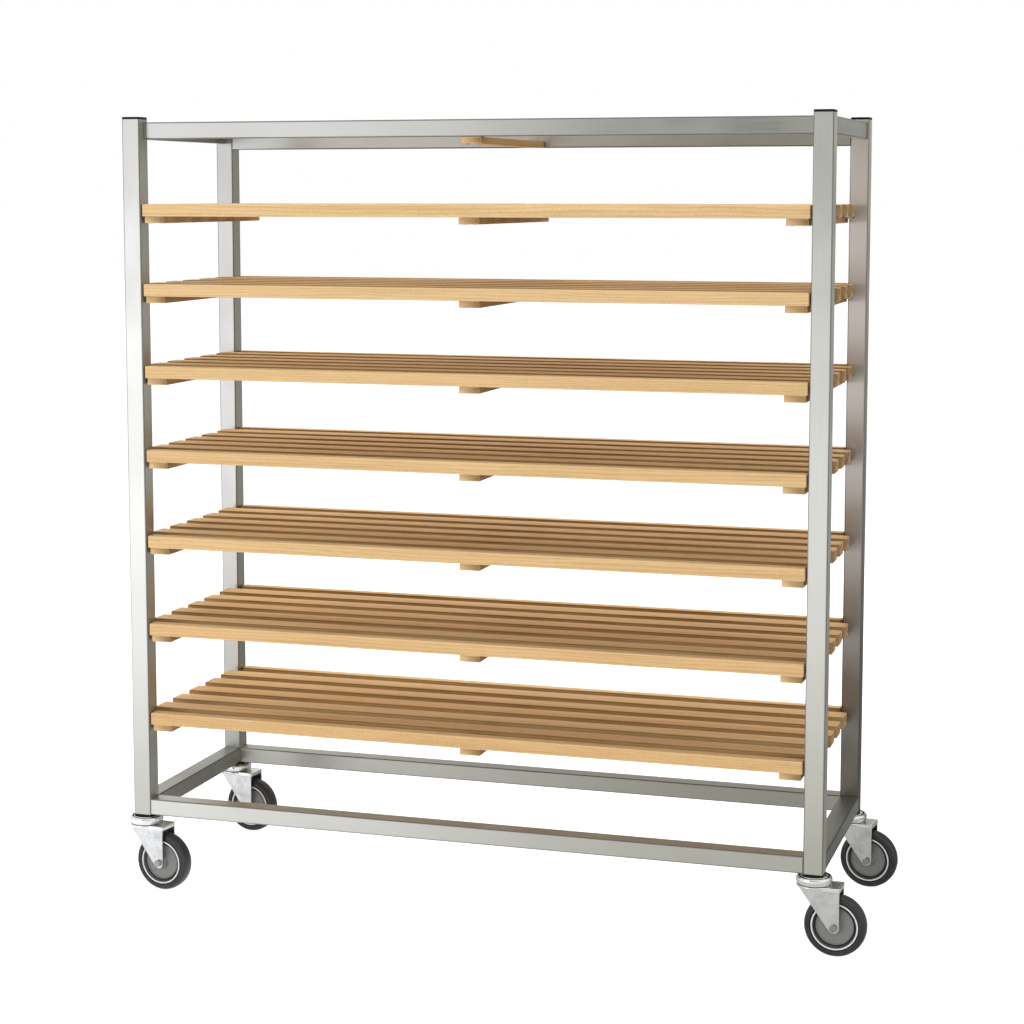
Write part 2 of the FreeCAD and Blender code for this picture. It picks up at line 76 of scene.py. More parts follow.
def solids_of(node, axis):
    """Boxes of a node's separate solids, in order along an axis.

    Each triangle covers a stretch of the axis. The stretches are sorted by their start, and a new solid begins
    where one starts past the end of all those before it.
    """
    mesh = frame["nodes"][node].data
    mesh.calc_loop_triangles()
    points = np.empty(len(mesh.vertices) * 3, np.float32)
    corners = np.empty(len(mesh.loop_triangles) * 3, np.int32)
    mesh.vertices.foreach_get("co", points)
    mesh.loop_triangles.foreach_get("vertices", corners)
    triangles = points.reshape(-1, 3)[corners].reshape(-1, 3, 3).astype(float)
    triangles = triangles[np.argsort(triangles[:, :, axis].min(1))]
    ends = np.maximum.accumulate(triangles[:, :, axis].max(1))
    cuts = np.flatnonzero(triangles[1:, :, axis].min(1) > ends[:-1] + MM) + 1
    return [(part.min((0, 1)), part.max((0, 1))) for part in np.split(triangles, cuts)]


# ---- meshes ----
def grid_faces(rows, columns, close_rows, close_columns):
    """Quads of a grid of points numbered row by row; a closed direction wraps to its start."""
    row = np.arange(rows if close_rows else rows - 1)
    column = np.arange(columns if close_columns else columns - 1)
    r, c = np.meshgrid(row, column, indexing="ij")
    r_next = (r + 1) % rows
    c_next = (c + 1) % columns
    quads = np.stack(
        [r * columns + c, r * columns + c_next, r_next * columns + c_next, r_next * columns + c], -1
    )
    return quads.reshape(-1, 4)


def piece(name, points, quads, caps=(), attributes=None):
    """Mesh object at the origin, from point, quad and end-cap arrays, with its normals outwards.

    It is smooth but for edges that turn by more than 50 degrees.
    """
    mesh = bpy.data.meshes.new(name)
    mesh.from_pydata(points.tolist(), [], quads.tolist() + [cap.tolist() for cap in caps])
    for label, (kind, values) in (attributes or {}).items():
        field = "vector" if kind == "FLOAT_VECTOR" else "value"
        layer = mesh.attributes.new(label, kind, "POINT")
        layer.data.foreach_set(field, np.asarray(values, np.float32).ravel())
    work = bmesh.new()
    work.from_mesh(mesh)
    bmesh.ops.recalc_face_normals(work, faces=work.faces)
    work.to_mesh(mesh)
    work.free()
    mesh.shade_smooth()
    mesh.set_sharp_from_angle(angle=SHARP_TURN)
    made = bpy.data.objects.new(name, mesh)
    bpy.context.scene.collection.objects.link(made)
    return made


def finish(made, body, material, nodes=()):
    """Gives a piece its material, its body and its slot, and hides the nodes that it stands for."""
    made.data.materials.append(material)
    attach(made, body)
    if nodes:
        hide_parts(*nodes)
    return made


def rounded_outline(width, height, radius, steps):
    """Rounded rectangle about the origin, as points and outward normals.

    Each quarter is the corner of the inner rectangle plus the radius times (cos, sin) of the angle.
    """
    angle = np.radians(np.arange(4)[:, None] * 90 + np.linspace(0, 90, steps + 1)[None]).ravel()
    normal = np.stack([np.cos(angle), np.sin(angle)], -1)
    middle = np.radians(np.repeat(np.arange(4) * 90 + 45, steps + 1))
    centre = np.stack(
        [np.sign(np.cos(middle)) * (width / 2 - radius), np.sign(np.sin(middle)) * (height / 2 - radius)], -1
    )
    return centre + normal * radius, normal


def eased(profile, radius, steps=5):
    """Closed profile with each corner b turned into a curve between points a and c on its two sides.

    The curve is (1 - t)^2 a + 2 t (1 - t) b + t^2 c, with a and c one radius from b, or 0.45 of a short side.
    """
    before = np.roll(profile, 1, 0) - profile
    after = np.roll(profile, -1, 0) - profile
    back = np.linalg.norm(before, axis=1, keepdims=True)
    ahead = np.linalg.norm(after, axis=1, keepdims=True)
    a = profile + before / back * np.minimum(radius, 0.45 * back)
    c = profile + after / ahead * np.minimum(radius, 0.45 * ahead)
    t = np.linspace(0, 1, steps)[None, :, None]
    curve = (1 - t) ** 2 * a[:, None] + 2 * t * (1 - t) * profile[:, None] + t ** 2 * c[:, None]
    return curve.reshape(-1, 2)


def turned(profile, centre, axis, across, steps):
    """Closed profile of (radius, height) turned about an axis.

    Point = centre + radius (cos a times across + sin a times the cross product of axis and across) + height
    times the axis.
    """
    sideways = np.cross(axis, across)
    angle = np.arange(steps) * 2 * np.pi / steps
    ring = np.cos(angle)[:, None] * across + np.sin(angle)[:, None] * sideways
    points = centre + ring[:, None] * profile[None, :, :1] + axis * profile[None, :, 1:]
    return points.reshape(-1, 3), grid_faces(steps, len(profile), True, True)


def joined(parts):
    """Several (points, quads, ...) made one: quads are offset by the points before them."""
    offsets = np.cumsum([0] + [len(part[0]) for part in parts[:-1]])
    points = np.concatenate([part[0] for part in parts])
    quads = np.concatenate([part[1] + offset for part, offset in zip(parts, offsets)])
    rest = [np.concatenate([part[k] for part in parts]) for k in range(2, len(parts[0]))]
    return (points, quads, *rest)


# ---- shader helpers ----
def put(tree, kind, inputs=None, **settings):
    """New node with its settings, its constant inputs and its links, where an input is a socket."""
    made = tree.nodes.new(kind)
    for name, value in settings.items():
        setattr(made, name, value)
    for name, value in (inputs or {}).items():
        if isinstance(value, bpy.types.NodeSocket):
            tree.links.new(value, made.inputs[name])
        else:
            made.inputs[name].default_value = value
    return made


def maths(tree, operation, *values, clamp=False):
    """Math node over numbers and sockets."""
    return put(tree, "ShaderNodeMath", dict(enumerate(values)), operation=operation, use_clamp=clamp).outputs[0]


def spread(tree, value, low, high, to_low=0.0, to_high=1.0):
    """Value mapped from one range to another and held there."""
    return put(
        tree, "ShaderNodeMapRange",
        {"Value": value, "From Min": low, "From Max": high, "To Min": to_low, "To Max": to_high},
    ).outputs[0]


def vector_maths(tree, operation, *values):
    """Vector Math node over vectors and sockets."""
    return put(tree, "ShaderNodeVectorMath", dict(enumerate(values)), operation=operation).outputs[0]


def stretched(tree, vector, scale):
    """Vector scaled on each axis."""
    return vector_maths(tree, "MULTIPLY", vector, scale)


def noise(tree, vector, scale, detail=2.0, roughness=0.5):
    """Noise value at a scale in features per metre."""
    return put(
        tree, "ShaderNodeTexNoise",
        {"Vector": vector, "Scale": scale, "Detail": detail, "Roughness": roughness},
    ).outputs[0]


def blended(tree, share, first, second):
    """Colour mix by a share. Sockets 6, 7 and 2 are the ones that hold colours."""
    return put(tree, "ShaderNodeMix", {0: share, 6: first, 7: second}, data_type="RGBA").outputs[2]


def group(name, inputs, outputs):
    """Empty node group with named sockets: (name, kind, default) in and (name, kind) out."""
    tree = bpy.data.node_groups.new(name, "ShaderNodeTree")
    for label, kind, default in inputs:
        made = tree.interface.new_socket(label, in_out="INPUT", socket_type=kind)
        if default is not None:
            made.default_value = default
    for label, kind in outputs:
        tree.interface.new_socket(label, in_out="OUTPUT", socket_type=kind)
    return tree, tree.nodes.new("NodeGroupInput").outputs, tree.nodes.new("NodeGroupOutput").inputs


FLOAT, VECTOR, COLOUR = "NodeSocketFloat", "NodeSocketVector", "NodeSocketColor"

NOISE_RANGE = (0.3, 0.7)  # where most of a noise's values lie

# Beech. The noises have so many features per metre along the grain and across it.
WAVER_FEATURES = (1.6, 14, 14)
SLOW_FEATURES = (2.5, 40, 40)
FIBRE_FEATURES = (18, 1300, 1300)
RAY_FEATURES = (260, 1900, 1900)
WAVER_REACH = 20 * MM
RING_SHARPNESS = 2.2
RAY_BROWN = (0.20, 0.095, 0.038, 1)
# Pale beech of wear, which also paints a highlight on the planks' rounded corners.
PALE_WEAR_AND_HIGHLIGHT = (0.80, 0.60, 0.37, 1)
# Dark brown of the painted shade on the planks' sides.
PAINTED_SIDE_SHADE = (0.15, 0.080, 0.022, 1)
RING_DARK, RAY_DARK = 0.38, 0.38
RAY_RANGE = (0.60, 0.68)
FIBRE_DARK, SLOW_DARK = (-0.04, 0.30), (-0.10, 0.22)
WEAR_AND_HIGHLIGHT_RANGE, WEAR_AND_HIGHLIGHT_SHARE, SIDE_SHADE_SHARE = (0.35, 0.65), (0.20, 0.55), (0.58, 0.80)
PLANK_HUE, PLANK_SATURATION, PLANK_VALUE = (0.497, 0.503), (1.04, 0.96), (0.93, 1.05)
BEECH_ROUGH = (0.56, 0.70)
FIBRE_RISE, RING_RISE, RAY_DIP = 0.5, -0.3, 0.4


def beech_group():
    """Flat-sawn beech in plank space, x along the grain.

    Growth rings are the fraction of (distance from the pith + a slow waver) over the ring width, raised to a
    power, so that each ring darkens slowly and ends sharply. Rays are short dark dashes from stretched noise.
    Plank gives each plank its tone, Edge says where it wears pale and carries a painted highlight, and the side shade
    where painted shade darkens it.
    """
    tree, given, result = group(
        "beech_grain",
        [("Grain", VECTOR, None), ("Plank", FLOAT, 0.5), ("Edge", FLOAT, 0.0), ("Side_shade", FLOAT, 0.0),
         ("Light", COLOUR, None), ("Dark", COLOUR, None), ("Ring width", FLOAT, 0.0035)],
        [("Color", COLOUR), ("Roughness", FLOAT), ("Height", FLOAT)],
    )
    grain = given["Grain"]
    waver = noise(tree, stretched(tree, grain, WAVER_FEATURES), 1.0, 2.0)
    apart = put(tree, "ShaderNodeSeparateXYZ", {0: grain}).outputs
    distance = maths(tree, "SQRT", maths(
        tree, "ADD", maths(tree, "MULTIPLY", apart[1], apart[1]), maths(tree, "MULTIPLY", apart[2], apart[2])
    ))
    wavering = maths(tree, "ADD", distance, maths(tree, "MULTIPLY", waver, WAVER_REACH))
    ring = maths(tree, "FRACT", maths(tree, "DIVIDE", wavering, given["Ring width"]))
    ring = maths(tree, "POWER", ring, RING_SHARPNESS)
    fibre = noise(tree, stretched(tree, grain, FIBRE_FEATURES), 1.0, 3.0)
    slow = noise(tree, stretched(tree, grain, SLOW_FEATURES), 1.0, 2.0)
    rays = spread(tree, noise(tree, stretched(tree, grain, RAY_FEATURES), 1.0, 1.0), *RAY_RANGE)
    dark = maths(tree, "MULTIPLY", ring, RING_DARK)
    dark = maths(tree, "ADD", dark, spread(tree, fibre, *NOISE_RANGE, *FIBRE_DARK))
    dark = maths(tree, "ADD", dark, spread(tree, slow, *NOISE_RANGE, *SLOW_DARK), clamp=True)
    colour = blended(tree, dark, given["Light"], given["Dark"])
    colour = blended(tree, maths(tree, "MULTIPLY", rays, RAY_DARK), colour, RAY_BROWN)
    tone = put(
        tree, "ShaderNodeHueSaturation",
        {"Hue": spread(tree, given["Plank"], 0, 1, *PLANK_HUE),
         "Saturation": spread(tree, given["Plank"], 0, 1, *PLANK_SATURATION),
         "Value": spread(tree, given["Plank"], 0, 1, *PLANK_VALUE), "Color": colour},
    ).outputs[0]
    # Pale wear with a painted highlight on the rounded corners and the ends.
    wear_and_highlight = maths(tree, "MULTIPLY", given["Edge"], spread(tree, slow, *WEAR_AND_HIGHLIGHT_RANGE, *WEAR_AND_HIGHLIGHT_SHARE))
    tone = blended(tree, wear_and_highlight, tone, PALE_WEAR_AND_HIGHLIGHT)
    # Painted shade on the sides of the planks.
    painted_side_shade = maths(tree, "MULTIPLY", given["Side_shade"], spread(tree, slow, *NOISE_RANGE, *SIDE_SHADE_SHARE))
    tree.links.new(blended(tree, painted_side_shade, tone, PAINTED_SIDE_SHADE), result["Color"])
    tree.links.new(spread(tree, fibre, *NOISE_RANGE, *BEECH_ROUGH), result["Roughness"])
    height = maths(tree, "MULTIPLY", fibre, FIBRE_RISE)
    height = maths(tree, "ADD", height, maths(tree, "MULTIPLY", ring, RING_RISE))
    tree.links.new(maths(tree, "SUBTRACT", height, maths(tree, "MULTIPLY", rays, RAY_DIP)), result["Height"])
    return tree


# Stainless tube. The corners are rougher and painted dark, a painted dark reflection line, up to the first depth, and
# as brushed from the second one on.
CORNER_DEPTHS = (1.0 * MM, 3.2 * MM)
PAINTED_DARK_CORNER = (0.075, 0.073, 0.066, 1)
# Painted shade that darkens a tube towards the floor: the heights between which it grows, and its colour.
LOW_SHADE_HEIGHTS = (0.45, 1.45)
PAINTED_LOW_SHADE = (0.02, 0.018, 0.015, 1)
STREAK_RANGE, CLOUD_FEATURES = (0.25, 0.75), 7.0
STREAK_SHADE, CLOUD_SHADE = (-0.5, 0.5), (-0.4, 0.4)
PAINTED_DARK_CORNER_SHARE = (0.65, 0.85)
STREAK_ROUGH, CLOUD_ROUGH, CORNER_ROUGH = (-0.05, 0.07), (-0.04, 0.05), 0.10


def brushed_group():
    """Brushed tube: streaks are noise drawn out along the brushing, over slow cloudy differences of polish.

    The rounded corners are rougher and painted dark, a painted dark reflection line along each corner. A point's
    depths below the faces of the tube's box are half its size less its distance from the middle. A corner is where
    the larger of the two depths across the tube is under 1 mm, and it fades out by 3.2 mm. A painted shade grows from
    1.45 m above the floor down to 0.45 m.
    """
    tree, given, result = group(
        "brushed_metal",
        [("Vector", VECTOR, None), ("Stretch", VECTOR, None), ("Middle", VECTOR, None), ("Half size", VECTOR, None),
         ("Across", VECTOR, None), ("Metal", COLOUR, None), ("Low shade", FLOAT, 0.0), ("Contrast", FLOAT, 0.1),
         ("Polish", FLOAT, 0.36)],
        [("Color", COLOUR), ("Roughness", FLOAT), ("Height", FLOAT)],
    )
    away = vector_maths(tree, "ABSOLUTE", vector_maths(tree, "SUBTRACT", given["Vector"], given["Middle"]))
    depth = stretched(tree, vector_maths(tree, "SUBTRACT", given["Half size"], away), given["Across"])
    depth = put(tree, "ShaderNodeSeparateXYZ", {0: depth}).outputs
    depth = maths(tree, "MAXIMUM", depth[0], maths(tree, "MAXIMUM", depth[1], depth[2]))
    corner = spread(tree, depth, *CORNER_DEPTHS, 1.0, 0.0)
    streak = noise(tree, stretched(tree, given["Vector"], given["Stretch"]), 1.0, 3.0, 0.6)
    cloud = noise(tree, given["Vector"], CLOUD_FEATURES, 3.0)
    shade = spread(tree, streak, *STREAK_RANGE, *STREAK_SHADE)
    shade = maths(tree, "ADD", shade, spread(tree, cloud, *NOISE_RANGE, *CLOUD_SHADE))
    value = maths(tree, "ADD", 1.0, maths(tree, "MULTIPLY", shade, given["Contrast"]))
    colour = put(tree, "ShaderNodeHueSaturation", {"Value": value, "Color": given["Metal"]}).outputs[0]
    height = put(tree, "ShaderNodeSeparateXYZ", {0: given["Vector"]}).outputs[2]
    # Painted shade, growing towards the floor.
    low_shade = maths(tree, "MULTIPLY", given["Low shade"], spread(tree, height, *LOW_SHADE_HEIGHTS, 1.0, 0.0))
    colour = blended(tree, low_shade, colour, PAINTED_LOW_SHADE)
    # Painted dark reflection line along the rounded corners.
    painted_dark_corner = maths(tree, "MULTIPLY", corner, spread(tree, cloud, *NOISE_RANGE, *PAINTED_DARK_CORNER_SHARE))
    tree.links.new(blended(tree, painted_dark_corner, colour, PAINTED_DARK_CORNER), result["Color"])
    rough = maths(tree, "ADD", given["Polish"], spread(tree, streak, *STREAK_RANGE, *STREAK_ROUGH))
    rough = maths(tree, "ADD", rough, spread(tree, cloud, *NOISE_RANGE, *CLOUD_ROUGH))
    rough = maths(tree, "ADD", rough, maths(tree, "MULTIPLY", corner, CORNER_ROUGH))
    tree.links.new(rough, result["Roughness"])
    tree.links.new(streak, result["Height"])
    return tree


# Moulded and plated skins.
RUBBED_RANGE, GRAIN_SHARE, BLOTCH_ROUGH = (0.40, 0.75), (0.5, 1.0), (-0.06, 0.08)


def speckle_group():
    """Moulded or plated skin: fine grain, slow blotches and soft rubbed patches."""
    tree, given, result = group(
        "speckled_skin",
        [("Vector", VECTOR, None), ("Grain", FLOAT, 1500.0), ("Blotch", FLOAT, 40.0),
         ("Base", COLOUR, None), ("Rubbed", COLOUR, None), ("Wear", FLOAT, 0.3), ("Polish", FLOAT, 0.5)],
        [("Color", COLOUR), ("Roughness", FLOAT), ("Height", FLOAT)],
    )
    fine = noise(tree, given["Vector"], given["Grain"], 2.0)
    blotch = noise(tree, given["Vector"], given["Blotch"], 4.0, 0.6)
    rubbed = maths(tree, "MULTIPLY", spread(tree, blotch, *RUBBED_RANGE), given["Wear"])
    share = maths(tree, "MULTIPLY", rubbed, spread(tree, fine, *NOISE_RANGE, *GRAIN_SHARE))
    tree.links.new(blended(tree, share, given["Base"], given["Rubbed"]), result["Color"])
    rough = maths(tree, "ADD", given["Polish"], spread(tree, blotch, *NOISE_RANGE, *BLOTCH_ROUGH))
    tree.links.new(rough, result["Roughness"])
    tree.links.new(fine, result["Height"])
    return tree


BEECH = beech_group()
BRUSHED = brushed_group()
SPECKLE = speckle_group()
BRUSH_PULL = 0.85


def skin(name, shader_group, inputs, bump, metallic=0.0, specular=0.5, sawn=False, brushing=None):
    """Principled material fed by a group: its colour, roughness and a bump (strength, distance) from its height.

    The pattern follows Object coordinates, or on sawn wood the attributes of its planks. Brushing is the axis
    that the brush lines run along: highlights are drawn out across them.
    """
    material = bpy.data.materials.new(name)
    material.use_nodes = True
    tree = material.node_tree
    shader = tree.nodes["Principled BSDF"]
    shader.inputs["Metallic"].default_value = metallic
    shader.inputs["Specular IOR Level"].default_value = specular
    if brushing:
        shader.inputs["Anisotropic"].default_value = BRUSH_PULL
        across = put(tree, "ShaderNodeTangent", direction_type="RADIAL", axis=brushing)
        tree.links.new(across.outputs[0], shader.inputs["Tangent"])
    inputs = dict(inputs)
    if sawn:
        for label, output in (("Grain", "Vector"), ("Plank", "Fac"), ("Edge", "Fac"), ("Side_shade", "Fac")):
            inputs[label] = put(tree, "ShaderNodeAttribute", attribute_name=label.lower()).outputs[output]
    else:
        inputs["Vector"] = put(tree, "ShaderNodeTexCoord").outputs["Object"]
    made = put(tree, "ShaderNodeGroup", inputs, node_tree=shader_group)
    tree.links.new(made.outputs["Color"], shader.inputs["Base Color"])
    tree.links.new(made.outputs["Roughness"], shader.inputs["Roughness"])
    strength, distance = bump
    lifted = put(
        tree, "ShaderNodeBump", {"Strength": strength, "Distance": distance, "Height": made.outputs["Height"]}
    )
    tree.links.new(lifted.outputs[0], shader.inputs["Normal"])
    return material


# Each tube has a tone of its own, a level times the warm white of stainless: lit and shaded copies of one steel,
# which paint the light and shade on each tube.
STAINLESS = np.array([1.0, 0.995, 0.91])
LIT_AND_SHADED_TONES = {
    "post_front_left": 0.50 * STAINLESS, "post_front_right": 0.50 * STAINLESS,
    "post_rear_left": 0.42 * STAINLESS, "post_rear_right": np.array([0.54, 0.50, 0.45]),
    "bottom_rail_front": 0.50 * STAINLESS, "bottom_rail_rear": 0.42 * STAINLESS,
    "bottom_rail_left": 0.33 * STAINLESS, "bottom_rail_right": 0.33 * STAINLESS,
    "top_rail_front": 0.40 * STAINLESS, "top_rail_rear": 0.39 * STAINLESS,
    "top_rail_left": 0.32 * STAINLESS, "top_rail_right": 0.30 * STAINLESS,
    "shelf_lugs": 0.45 * STAINLESS,
}
# Brush lines per metre, for tubes along X, Y and Z.
BRUSH_LINES = ((6, 900, 900), (900, 6, 900), (900, 900, 6))
# Share of the painted shade low on the rear right post.
REAR_RIGHT_LOW_SHADE = 0.64


def stainless(node, axis, low_shade=0.0):
    """Satin stainless for one tube, brushed along its length, in the tube's own tone of painted light and shade."""
    low, high = corners_of(node)
    inputs = {
        "Metal": (*LIT_AND_SHADED_TONES[node], 1), "Low shade": low_shade, "Stretch": BRUSH_LINES[axis], "Contrast": 0.12, "Polish": 0.33,
        "Middle": tuple((low + high) / 2), "Half size": tuple((high - low) / 2),
        "Across": tuple(1 - np.eye(3)[axis]),
    }
    return skin(f"stainless_{node}", BRUSHED, inputs, (0.12, 0.00015), metallic=1.0, brushing="XYZ"[axis])


# Grain and Blotch are in features per metre, and each bump is a strength and a distance in metres.
BEECH_SKIN = skin(
    "oiled_beech", BEECH,
    {"Light": (0.715, 0.485, 0.245, 1), "Dark": (0.43, 0.257, 0.091, 1), "Ring width": 0.0035},
    (0.25, 0.0003), specular=0.1, sawn=True,
)
BLACK_PLASTIC = skin(
    "black_plastic", SPECKLE,
    {"Grain": 1800.0, "Blotch": 45.0, "Base": (0.008, 0.008, 0.009, 1), "Rubbed": (0.03, 0.03, 0.03, 1),
     "Wear": 0.5, "Polish": 0.55},
    (0.2, 0.0001), specular=0.08,
)
ZINC = skin(
    "bright_zinc", SPECKLE,
    {"Grain": 600.0, "Blotch": 40.0, "Base": (0.68, 0.685, 0.69, 1), "Rubbed": (0.36, 0.37, 0.36, 1),
     "Wear": 1.0, "Polish": 0.24},
    (0.03, 0.00002), metallic=1.0,
)
PLATED = skin(
    "bright_plating", SPECKLE,
    {"Grain": 260.0, "Blotch": 14.0, "Base": (0.80, 0.805, 0.81, 1), "Rubbed": (0.66, 0.67, 0.68, 1),
     "Wear": 0.6, "Polish": 0.15},
    (0.04, 0.00003), metallic=1.0,
)
BOLT_STEEL = skin(
    "bolt_steel", SPECKLE,
    {"Grain": 700.0, "Blotch": 60.0, "Base": (0.30, 0.30, 0.305, 1), "Rubbed": (0.42, 0.42, 0.42, 1),
     "Wear": 0.7, "Polish": 0.32},
    (0.08, 0.00005), metallic=1.0,
)
WELD = skin(
    "weld", SPECKLE,
    {"Grain": 900.0, "Blotch": 130.0, "Base": (0.13, 0.125, 0.115, 1), "Rubbed": (0.07, 0.062, 0.052, 1),
     "Wear": 0.7, "Polish": 0.34},
    (0.2, 0.0002), metallic=1.0,
)
RUBBER = skin(
    "grey_black_rubber", SPECKLE,
    {"Grain": 1100.0, "Blotch": 35.0, "Base": (0.016, 0.016, 0.018, 1), "Rubbed": (0.050, 0.048, 0.046, 1),
     "Wear": 0.6, "Polish": 0.38},
    (0.25, 0.00015), specular=0.5,
)
HUB_GREY = skin(
    "hub_grey", SPECKLE,
    {"Grain": 1300.0, "Blotch": 55.0, "Base": (0.175, 0.175, 0.17, 1), "Rubbed": (0.23, 0.23, 0.222, 1),
     "Wear": 0.5, "Polish": 0.40},
    (0.15, 0.0001),
)
RIM_BRIGHT = skin(
    "rim_ring", SPECKLE,
    {"Grain": 900.0, "Blotch": 80.0, "Base": (0.74, 0.74, 0.73, 1), "Rubbed": (0.58, 0.58, 0.57, 1),
     "Wear": 0.5, "Polish": 0.30},
    (0.1, 0.0001), specular=0.6,
)


# ---- beech ----
SLAT_ROUNDING, BATTEN_ROUNDING = 3 * MM, 1.5 * MM
SLAT_SEED, BATTEN_SEED, TOP_BAR_SEED = 100, 200, 300
END_EASE = 1.2 * MM
EASE_STATIONS, INNER_STATIONS, OUTLINE_STEPS = 4, 18, 4
FACE_WAVER = 0.06 * MM
SLOW_WAVE, QUICK_WAVE = 5, 13  # radians per metre
PITH_ALONG, PITH_ASIDE, PITH_ABOVE = (0, 9), (0.03, 0.11), (0.02, 0.09)
CORNER_LEAN, FLAT_LEAN = 0.3, 0.999
# Share of the pale wear and painted highlight on the eased ends.
END_WEAR_AND_HIGHLIGHT = 0.5
# The painted shade on a side: its reach past the first lean, its share on the corners and on the flat, and its share
# on battens and bars, which have no neighbour.
SIDE_SHADE_FADE = 0.35
CORNER_SIDE_SHADE, FLAT_SIDE_SHADE = 1.2, 0.75
OPEN_SIDE_SHADE = 0.9


def plank(low, high, along, rounding, rng, side_shades):
    """One plank, with its rounded outline carried along it.

    The outline is drawn inwards at each end by ease (1 - sqrt(1 - (1 - s)^2)), with s the distance from the end
    over the ease, and all along by 0.06 mm (2 - sin a - sin b), with a and b growing by 5 and 13 radians a metre.
    Its corners are pale with wear and a painted highlight, where both parts of the normal are above 0.3. The side
    shades say how darkly the low and the high side are painted with shade. That painted shade sets in as the normal
    leans across from 17 to 41 degrees, is stronger on the rounded corners than on the flat side, and takes the place
    of the pale wear and highlight.
    """
    size = high - low
    across = 1 - along
    outline, normal = rounded_outline(size[across], size[2], rounding, OUTLINE_STEPS)
    ease = np.linspace(0, 1, EASE_STATIONS)
    inside = np.linspace(END_EASE, size[along] - END_EASE, INNER_STATIONS + 2)[1:-1]
    station = np.concatenate([ease * END_EASE, inside, size[along] - ease[::-1] * END_EASE])
    from_end = np.minimum(np.minimum(station, size[along] - station) / END_EASE, 1)
    inset = END_EASE * (1 - np.sqrt(1 - (1 - from_end) ** 2))
    phase = rng.uniform(0, 2 * np.pi, 4)
    waver = FACE_WAVER * (np.sin(station * SLOW_WAVE + phase[0]) + np.sin(station * QUICK_WAVE + phase[1]) - 2)
    section = outline[None] - normal[None] * (inset - waver)[:, None, None]
    points = np.empty((len(station), len(outline), 3))
    points[..., along] = low[along] + station[:, None]
    points[..., across] = (low[across] + high[across]) / 2 + section[..., 0]
    points[..., 2] = (low[2] + high[2]) / 2 + section[..., 1]
    count = len(outline)
    quads = grid_faces(len(station), count, False, True)
    caps = np.stack([np.arange(count)[::-1], np.arange(count) + (len(station) - 1) * count])
    pith = np.array([
        rng.uniform(*PITH_ALONG), rng.choice([-1, 1]) * rng.uniform(*PITH_ASIDE), rng.uniform(*PITH_ABOVE),
    ])
    grain = np.empty_like(points)
    grain[..., 0] = station[:, None]
    grain[..., 1:] = section
    grain = grain.reshape(-1, 3) + pith
    corner = np.abs(normal).min(1) > CORNER_LEAN
    facing = np.where(normal[:, 0] < 0, side_shades[0], side_shades[1])
    edge = np.broadcast_to(corner * (1 - facing), points.shape[:2]).ravel().copy()
    edge[: 2 * count] = END_WEAR_AND_HIGHLIGHT
    edge[-2 * count:] = END_WEAR_AND_HIGHLIGHT
    tone = np.full(len(edge), rng.uniform(0, 1))
    lean = np.abs(normal[:, 0])
    side_shade = np.clip((lean - CORNER_LEAN) / SIDE_SHADE_FADE, 0, 1)
    side_shade = side_shade * np.where(lean > FLAT_LEAN, FLAT_SIDE_SHADE, CORNER_SIDE_SHADE) * facing
    side_shade = np.tile(side_shade, len(station))
    return points.reshape(-1, 3), quads, grain, edge, tone, side_shade, caps


def planks(name, boxes, along, rounding, seed, abreast=False):
    """Piece of several planks, each with a grain, edge and tone of its own.

    Those abreast have painted shade on the sides that face the gaps between them, and others have painted shade on
    both sides.
    """
    rng = np.random.default_rng(seed)
    last = len(boxes) - 1
    sides = [
        (float(k > 0), float(k < last)) if abreast else (OPEN_SIDE_SHADE, OPEN_SIDE_SHADE) for k in range(len(boxes))
    ]
    made = [plank(low, high, along, rounding, rng, side_shades) for (low, high), side_shades in zip(boxes, sides)]
    points, quads, grain, edge, tone, side_shade = joined([part[:6] for part in made])
    offsets = np.cumsum([0] + [len(part[0]) for part in made[:-1]])
    caps = [cap + offset for part, offset in zip(made, offsets) for cap in part[6]]
    fields = {
        "grain": ("FLOAT_VECTOR", grain), "edge": ("FLOAT", edge), "plank": ("FLOAT", tone),
        "side_shade": ("FLOAT", side_shade),
    }
    return piece(name, points, quads, caps, fields)


for n in SHELVES:
    slats = planks(f"slats_{n}", solids_of(f"shelf_{n}_slats", 1), 0, SLAT_ROUNDING, SLAT_SEED + n, abreast=True)
    finish(slats, f"shelf_{n}", BEECH_SKIN, [f"shelf_{n}_slats"])
    battens = planks(f"battens_{n}", solids_of(f"shelf_{n}_battens", 0), 1, BATTEN_ROUNDING, BATTEN_SEED + n)
    finish(battens, f"shelf_{n}", BEECH_SKIN, [f"shelf_{n}_battens"])
top_bar = planks("top_bar_beech", [corners_of("top_bar")], 1, BATTEN_ROUNDING, TOP_BAR_SEED)
finish(top_bar, "frame", BEECH_SKIN, ["top_bar"])


# ---- screws ----
SCREW_PROFILE = np.array([[1.1, 0.1], [2.4, 0.5], [3.3, 0.4], [4.0, 0.0], [1.1, 0.0]]) * MM
SCREW_OFFSET = 11 * MM
SCREW_STEPS = 12


def batten_screws(number):
    """Two screws up through each batten into each slat, on either side of the crossing of their middle lines.

    The heads are copies of one domed profile with a hollow middle, turned about the vertical.
    """
    slat_boxes = solids_of(f"shelf_{number}_slats", 1)
    batten_boxes = solids_of(f"shelf_{number}_battens", 0)
    places = np.array([
        ((left[0] + right[0]) / 2 + side * SCREW_OFFSET, (front[1] + back[1]) / 2, left[2])
        for left, right in batten_boxes for front, back in slat_boxes for side in (-1, 1)
    ])
    points, quads = turned(SCREW_PROFILE, np.zeros(3), -Z, X, SCREW_STEPS)
    spots = (points[None] + places[:, None]).reshape(-1, 3)
    faces = (quads[None] + np.arange(len(places))[:, None, None] * len(points)).reshape(-1, 4)
    return piece(f"batten_screws_{number}", spots, faces)


